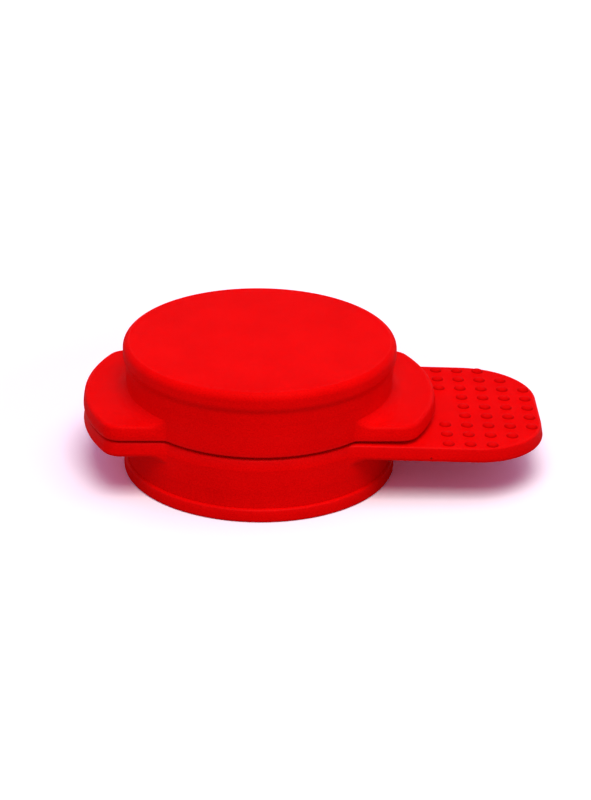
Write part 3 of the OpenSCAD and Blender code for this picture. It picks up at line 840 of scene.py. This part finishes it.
def cap_rows():
    """Rows of the cap, around its section."""
    rows = circles((HUB_BORE, FLOOR_LOW), (CAVITY_R - 0.3, FLOOR_LOW), (CAVITY_R, FLOOR_LOW - 0.3),
                   (CAVITY_R, CAP_LOW + SKIRT_CHAMFER), (CAVITY_R + SKIRT_CHAMFER, CAP_LOW))
    for gap, limit in ((0.3, 23.6), (0.3, 27), (0.15, 60)):
        inset = SEAM_ROUND + gap
        rows.append(row(np.minimum(meet(WALL_R - inset, wing_plan(inset)), limit), CAP_LOW))
    for a in QUARTER:
        inset = SEAM_ROUND * (1 - math.sin(a))
        height = CAP_LOW + SEAM_ROUND * (1 - math.cos(a))
        rows.append(row(meet(WALL_R - inset, wing_plan(inset)), height, 1.0))
    for share in (0.3, 0.65):
        height = CAP_LOW + SEAM_ROUND + share * (PLATE_T - SEAM_ROUND - EDGE_ROUND)
        rows.append(row(meet(WALL_R, wing_plan(EDGE_DRAFT * share ** 2)), height))
    rows += plate_edge_rows(wing_plan, WING_TOP, 1, 0.0, EDGE_DRAFT)
    rows += [row(WALL_R, WING_TOP + FILLET + 0.2)] + mould_step(WALL_R, CAP_STEP_Z)
    valley_low = CAP_WALL_TOP - VALLEY * math.sin(math.radians(UNDER_END))
    rows += [row(WALL_R + MOULD_STEP, valley_low - 0.2)]
    for a in np.radians(np.linspace(0, UNDER_END, 7)):
        stand = max(VALLEY * (1 - math.cos(a)), MOULD_STEP)
        rows.append(row(WALL_R + stand, valley_low + VALLEY * math.sin(a), 0.3))
    return rows + circles(
        (WALL_R - 0.45, CAP_WALL_TOP), (CAVITY_R, CAP_WALL_TOP), (CAVITY_R, FLOOR_TOP + FLOOR_CHAMFER),
        (CAVITY_R - FLOOR_CHAMFER, FLOOR_TOP), (HUB_R + CHAMFER, FLOOR_TOP), (HUB_R, FLOOR_TOP + CHAMFER),
        (HUB_R, HUB_TOP - HUB_CHAMFER), (HUB_R - HUB_CHAMFER, HUB_TOP), (HUB_BORE, HUB_TOP))


cap = skin("cap", cap_rows())
tidy_faces(cap)

PEG_R = 1.55
BALL_SEAT_R = 0.9
VENT_SEAT_R = 2.25
VENT_SEAT_Z = 15.8
UNDER_FLOOR = 14
OVER_FLOOR = 20
vent_seat = [(0, UNDER_FLOOR), (BALL_SEAT_R, UNDER_FLOOR), (BALL_SEAT_R, VENT_SEAT_Z),
             (VENT_SEAT_R, VENT_SEAT_Z), (VENT_SEAT_R, OVER_FLOOR), (0, OVER_FLOOR)]
floor_holes = [(polar(90, PORT_AT), pin(PORT_R, UNDER_FLOOR, OVER_FLOOR)), (polar(270, PORT_AT), vent_seat)]
floor_holes += [(polar(angle, PORT_AT), pin(PEG_R, UNDER_FLOOR, OVER_FLOOR)) for angle in (45, 225)]
shape_with(cap, pins("floor_holes", floor_holes), "DIFFERENCE")

# %% [markdown]
# ### The pour window and its lip
# The window is a slot through the wall at the back of the shut cap. Its cutter is a rounded rectangle
# wrapped around the axis, which flares at the wall's face, so the cut leaves a rounded edge. The drip
# lip is swept around the axis below it, with a thin edge and rounded ends.

# %% The window
WINDOW_HALF = math.radians(20)
WINDOW_LOW = 16.1
WINDOW_HIGH = 20.9


def slot_outline(grow, corner=0.9, steps=8):
    """Rounded rectangle of the window, as angles from its middle and heights."""
    half = WALL_R * WINDOW_HALF + grow
    low = WINDOW_LOW - grow
    high = WINDOW_HIGH + grow
    r = corner + grow
    outline = []
    corners = ((half - r, high - r, 0), (r - half, high - r, 90), (r - half, low + r, 180),
               (half - r, low + r, 270))
    for cx, cz, start in corners:
        for a in np.radians(np.linspace(start, start + 90, steps + 1)):
            outline.append(((cx + r * math.cos(a)) / WALL_R, cz + r * math.sin(a)))
    return outline


def refine(outline, longest=0.02):
    """Splits the long sides of an outline, so that it follows the wall's curve."""
    fine = []
    for (a, z), (b, y) in zip(outline, outline[1:] + outline[:1]):
        parts = max(1, math.ceil(abs(b - a) / longest))
        fine += [(a + (b - a) * k / parts, z + (y - z) * k / parts) for k in range(parts)]
    return fine


def join_loops(work, sections):
    """Adds a loop for each section of (radius, angle, height) points and the faces between the loops."""
    loops = [[work.verts.new((-r * math.sin(a) * MM, r * math.cos(a) * MM, z * MM)) for r, a, z in section]
             for section in sections]
    for low, high in zip(loops, loops[1:]):
        for k in range(len(low)):
            n = (k + 1) % len(low)
            work.faces.new((low[k], low[n], high[n], high[k]))
    return loops


def wrap(name, sections):
    """Solid between sections of (radius, outline), wrapped around the axis, with ends closed by strips."""
    work = bmesh.new()
    loops = join_loops(work, [[(r, a, z) for a, z in outline] for r, outline in sections])
    for loop in (loops[0], loops[-1]):
        for k in range(len(loop) // 2 - 1):
            work.faces.new((loop[k], loop[k + 1], loop[-2 - k], loop[-1 - k]))
    return close_up(name, work)


FLARE = 0.3
CUT_IN = CAVITY_R - 0.5
CUT_OUT = 26.5
flare = [(WALL_R - FLARE * (1 - math.sin(a)), FLARE * (1 - math.cos(a))) for a in QUARTER]
window_cuts = [(CUT_IN, 0)] + flare + [(CUT_OUT, FLARE)]
window_sections = [(r, refine(slot_outline(grow))) for r, grow in window_cuts]
shape_with(cap, wrap("window", window_sections), "DIFFERENCE")

# %% The drip lip
DRIP_R = 27.4
DRIP_TOP = 16.45
DRIP_T = 1.2
DRIP_ROOT_R = 21.2
DRIP_ROOT_T = 0.7
DRIP_HALF = 23.0
DRIP_END = 3.5
DRIP_STEPS = 93
DRIP_NOSE = ((0.5, 0), (0.12, 0.04), (0, 0.16), (0, 0.34), (0.12, 0.5), (1.0, 1.12), (1.3, DRIP_T))
INSIDE_R = WALL_R - 0.2
BEHIND_R = WALL_R - 0.5


def drip_section(angle):
    """Cross section of the drip lip at an angle in degrees; it draws back into the wall at its ends."""
    section = [(DRIP_ROOT_R, DRIP_TOP), (WALL_R - 0.1, DRIP_TOP)]
    section += [(DRIP_R - back, DRIP_TOP - down) for back, down in DRIP_NOSE]
    section += [(BEHIND_R, DRIP_TOP - DRIP_T), (BEHIND_R, DRIP_TOP - DRIP_ROOT_T),
                (DRIP_ROOT_R, DRIP_TOP - DRIP_ROOT_T)]
    end = max(0.0, (abs(angle) - DRIP_HALF + DRIP_END) / DRIP_END)
    keep = math.sqrt(max(0.0, 1 - end ** 2))
    turn = math.radians(angle)
    return [(INSIDE_R + (r - INSIDE_R) * keep if r > INSIDE_R else r, turn, z) for r, z in section]


def sweep_drip():
    """Solid of the drip lip, with flat ends inside the wall."""
    work = bmesh.new()
    angles = np.linspace(-DRIP_HALF, DRIP_HALF, DRIP_STEPS)
    loops = join_loops(work, [drip_section(angle) for angle in angles])
    work.faces.new(loops[0])
    work.faces.new(loops[-1])
    bmesh.ops.remove_doubles(work, verts=work.verts, dist=1e-7)
    return close_up("drip_lip", work)


shape_with(cap, sweep_drip(), "UNION")
tidy_faces(cap)

# %% [markdown]
# The cover's locating ring stops beside the window, so that the stream has a clear way out. The gap is cut
# with the same wrapping helper.

# %% The gap in the cover's ring
GAP_HALF = 0.4
gap_low = RING_LOW - 0.3
gap_high = CAP_WALL_TOP - 0.1
ring_gap = refine([(-GAP_HALF, gap_low), (GAP_HALF, gap_low), (GAP_HALF, gap_high), (-GAP_HALF, gap_high)])
gap_cuts = [(RING_IN - 0.55, ring_gap), (RING_R + 0.45, ring_gap)]
shape_with(cover, wrap("ring_gap", gap_cuts), "DIFFERENCE")
tidy_faces(cover)

# %% [markdown]
# ## The grip studs
# The paddle carries rows of low domes for the thumb. They repeat on a grid, and the grid has two rules: a
# dome keeps clear of the paddle's edge and of the sweep of the wing above it. A Geometry Nodes tree holds
# the rules, so a change of pitch lays all of them out again.

# %% The stud tree
def make_stud_tree():
    """Geometry Nodes tree that sets a stud on each point of a grid that keeps the two rules."""
    lengths = ("Column Pitch", "Row Pitch", "Last Column", "Plate Height", "Slope", "Core Reach",
               "Core Width", "Corner Room", "Sweep")
    labels = [("Stud", "Geometry"), ("Columns", "Int"), ("Rows", "Int")]
    labels += [(label, "Float") for label in lengths] + [("Finish", "Material")]
    tree, size, identifiers = open_tree("stud_grid", labels)
    wide = maths(tree, "MULTIPLY", maths(tree, "SUBTRACT", size["Columns"], 1.0), size["Column Pitch"])
    deep = maths(tree, "MULTIPLY", maths(tree, "SUBTRACT", size["Rows"], 1.0), size["Row Pitch"])
    grid = add(tree, "GeometryNodeMeshGrid", {"Size X": wide, "Size Y": deep, "Vertices X": size["Columns"],
                                              "Vertices Y": size["Rows"]})
    shift = maths(tree, "SUBTRACT", size["Last Column"], maths(tree, "MULTIPLY", wide, 0.5))
    moved = add(tree, "GeometryNodeTransform", {
        "Geometry": grid.outputs["Mesh"], "Translation": vector(tree, X=shift, Z=size["Plate Height"])})
    spot = add(tree, "ShaderNodeSeparateXYZ", {0: add(tree, "GeometryNodeInputPosition").outputs[0]})
    x = spot.outputs["X"]
    y = maths(tree, "ABSOLUTE", spot.outputs["Y"])
    past_x = maths(tree, "MAXIMUM", maths(tree, "SUBTRACT", x, size["Core Reach"]), 0.0)
    past_y = maths(tree, "MAXIMUM", maths(tree, "SUBTRACT", y, size["Core Width"]), 0.0)
    past = length(tree, vector(tree, X=past_x, Y=past_y))
    reach = length(tree, vector(tree, X=x, Y=y))
    over_edge = maths(tree, "GREATER_THAN", past, size["Corner Room"])
    under_wing = maths(tree, "LESS_THAN", reach, size["Sweep"])
    dropped = maths(tree, "MAXIMUM", over_edge, under_wing)
    kept = add(tree, "GeometryNodeDeleteGeometry", {"Geometry": moved.outputs[0], "Selection": dropped},
               domain="POINT")
    fall = maths(tree, "MULTIPLY", x, maths(tree, "MULTIPLY", size["Slope"], -1.0))
    laid = add(tree, "GeometryNodeSetPosition", {"Geometry": kept.outputs[0], "Offset": vector(tree, Z=fall)})
    dots = add(tree, "GeometryNodeMeshToPoints", {0: laid.outputs[0]})
    studs = add(tree, "GeometryNodeInstanceOnPoints", {"Points": dots.outputs[0], "Instance": size["Stud"]})
    close_tree(tree, studs.outputs[0], size["Finish"])
    return tree, identifiers


STUDS, STUD_INPUT = make_stud_tree()

# %% Lay out the studs
STUD_R = 1.05
STUD_H = 0.45
# Share of the studs' painted shade that is left on their crowns; their feet get it in full.
CROWN_SHADE = 0.1


def stud_profile():
    """Profile of one dome, from its crown down a soft foot into the plate."""
    crown = [(STUD_R * math.sin(a) ** 0.9, STUD_H * math.cos(a)) for a in np.radians(np.linspace(0, 86, 10))]
    return crown + [(STUD_R + 0.02, 0.02), (STUD_R + 0.1, -0.03), (0.9, -0.2), (0, -0.2)]


studs = pins("studs", [((0, 0), stud_profile())], 20)
stud_points = len(studs.data.vertices)
# Each stud point gets its share of painted shade: full at the foot, fading to the crown's share at the top.
climbs = [vert.co.z / MM / STUD_H for vert in studs.data.vertices]
foot_shade = [1 - (1 - CROWN_SHADE) * min(max(share, 0), 1) ** 0.8 for share in climbs]
studs.data.attributes.new("painted_shade", "FLOAT", "POINT").data.foreach_set("value", foot_shade)
layout = studs.modifiers.new("layout", "NODES")
layout.node_group = STUDS
room = {"Columns": 5, "Rows": 9, "Column Pitch": 3.95 * MM, "Row Pitch": 4.05 * MM, "Last Column": 49.5 * MM,
        "Plate Height": (BASE_TOP + DROOP * BEND_X) * MM, "Slope": DROOP,
        "Core Reach": (PADDLE_REACH - PADDLE_CORNER) * MM, "Core Width": (PADDLE_HALF - PADDLE_CORNER) * MM,
        "Corner Room": (PADDLE_CORNER - STUD_R - 0.1) * MM, "Sweep": (WING_R + STUD_R + 1.0) * MM,
        "Finish": RED}
for label, value in room.items():
    layout[STUD_INPUT[label]] = value
make_plain(studs)
studs.data.shade_smooth()
studs.data.set_sharp_from_angle(angle=math.radians(60))
print("studs:", len(studs.data.vertices) // stud_points)

# %% [markdown]
# ## Joining the moving model
# Each new piece rides on the body that carries it and stands for the CAD solid that it replaces. The
# inner pieces keep their CAD shapes, which are right as they are, and only get their finishes.

# %% Ride, replace and finish
shells = ((base, "base", "base_shell"), (foot, "base", "foot_ring"), (sleeve, "base", "neck_sleeve"),
          (cap, "cap", "cap_shell"), (cover, "cap", "cap_cover"))
for piece, body, node in shells:
    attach(piece, body)
    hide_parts(node)
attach(studs, "base")

inner = {"neck_gasket": SILICONE, "seat_seal": SILICONE, "skirt_seal": RUBBER, "strainer": STEEL,
         "threaded_insert": BRASS, "pivot_screw": STEEL, "thrust_washer": ACETAL, "spring_washer": STEEL,
         "valve_plate": ACETAL, "vent_tube": STEEL, "vent_ball": STEEL}
for node, finish in inner.items():
    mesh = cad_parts[node].data
    mesh.materials.clear()
    mesh.materials.append(finish)
print("inner pieces finished:", len(inner))

# %% [markdown]
# ## Stage and light
# The object stands on a white table in front of white. The table answers the camera brighter than it
# lights the object, and further off it glows a little, so it burns out to white around the object and
# still keeps the shadows under the wings. One large soft lamp stands above and in front, and a weaker one
# overhead to the right. A pale pink sky fills the rest, which tints the shadows.

# %% The table
TABLE_HALF = 3.0
TABLE_Z = -2e-5
TABLE_LIT = (0.5, 0.5, 0.5, 1)
TABLE_SEEN = (1.15, 1.15, 1.15, 1)
GLOW = (0.7, 0.7, 0.7, 1)
GLOW_START = 0.06
GLOW_END = 0.25


def make_table():
    """White floor that is brighter to the camera than to the object, and more so further off."""
    material, tree, shader, place = start_finish("table_white", Specular_IOR_Level=0.0, Roughness=1.0,
                                                 Emission_Strength=1.0)
    path = add(tree, "ShaderNodeLightPath")
    seen = maths(tree, "MAXIMUM", path.outputs["Is Camera Ray"], path.outputs["Is Transmission Ray"])
    tree.links.new(blend(tree, seen, TABLE_LIT, TABLE_SEEN), shader.inputs["Base Color"])
    far = between(tree, length(tree, place), 0.0, 1.0, GLOW_START, GLOW_END)
    glow = maths(tree, "MULTIPLY", seen, far)
    tree.links.new(blend(tree, glow, (0, 0, 0, 1), GLOW), shader.inputs["Emission Color"])
    mesh = bpy.data.meshes.new("table")
    corners = [(x * TABLE_HALF, y * TABLE_HALF, TABLE_Z) for x, y in ((-1, -1), (1, -1), (1, 1), (-1, 1))]
    mesh.from_pydata(corners, [], [(0, 1, 2, 3)])
    mesh.materials.append(material)
    table = new_piece("table", mesh)


make_table()


# %% The lamps and the sky
def make_lamp(name, place, aim, size, power, colour=(1, 1, 1)):
    """Square soft lamp at a place, aimed at a point, both in metres."""
    data = bpy.data.lights.new(name, "AREA")
    data.size = size
    data.energy = power
    data.color = colour
    lamp = bpy.data.objects.new(name, data)
    way = Vector(aim) - Vector(place)
    lamp.matrix_world = Matrix.Translation(place) @ way.to_track_quat("-Z", "Y").to_matrix().to_4x4()
    bpy.context.scene.collection.objects.link(lamp)


def make_sky(colour, strength):
    """Sky that lights the object softly and is plain white to the camera and in reflections."""
    sky = bpy.data.worlds.new("sky")
    sky.use_nodes = True
    bpy.context.scene.world = sky
    tree = sky.node_tree
    tree.nodes.clear()
    path = add(tree, "ShaderNodeLightPath")
    seen = maths(tree, "MAXIMUM", path.outputs["Is Camera Ray"], path.outputs["Is Glossy Ray"])
    seen = maths(tree, "MAXIMUM", seen, path.outputs["Is Transmission Ray"])
    light = add(tree, "ShaderNodeBackground", {"Color": colour, "Strength": strength})
    white = add(tree, "ShaderNodeBackground", {"Color": (1, 1, 1, 1), "Strength": 1.0})
    both = add(tree, "ShaderNodeMixShader", {0: seen, 1: light.outputs[0], 2: white.outputs[0]})
    add(tree, "ShaderNodeOutputWorld", {0: both.outputs[0]})


MIDDLE = (0, 0, 0.012)
make_lamp("key", (0.02, -0.3, 0.545), MIDDLE, 0.3, 2.12, (0.9, 1.0, 0.95))
make_lamp("top", (0.1, -0.05, 0.42), MIDDLE, 0.3, 0.45)
make_sky((1.0, 0.54, 0.97, 1), 0.52)
bpy.context.scene.view_settings.view_transform = "Standard"

# %% [markdown]
# ## Last step
# The visual model has to fill the same box as the CAD model. Here the scene is only brought up to date once
# more.

# %% Bring the scene up to date
bpy.context.view_layer.update()
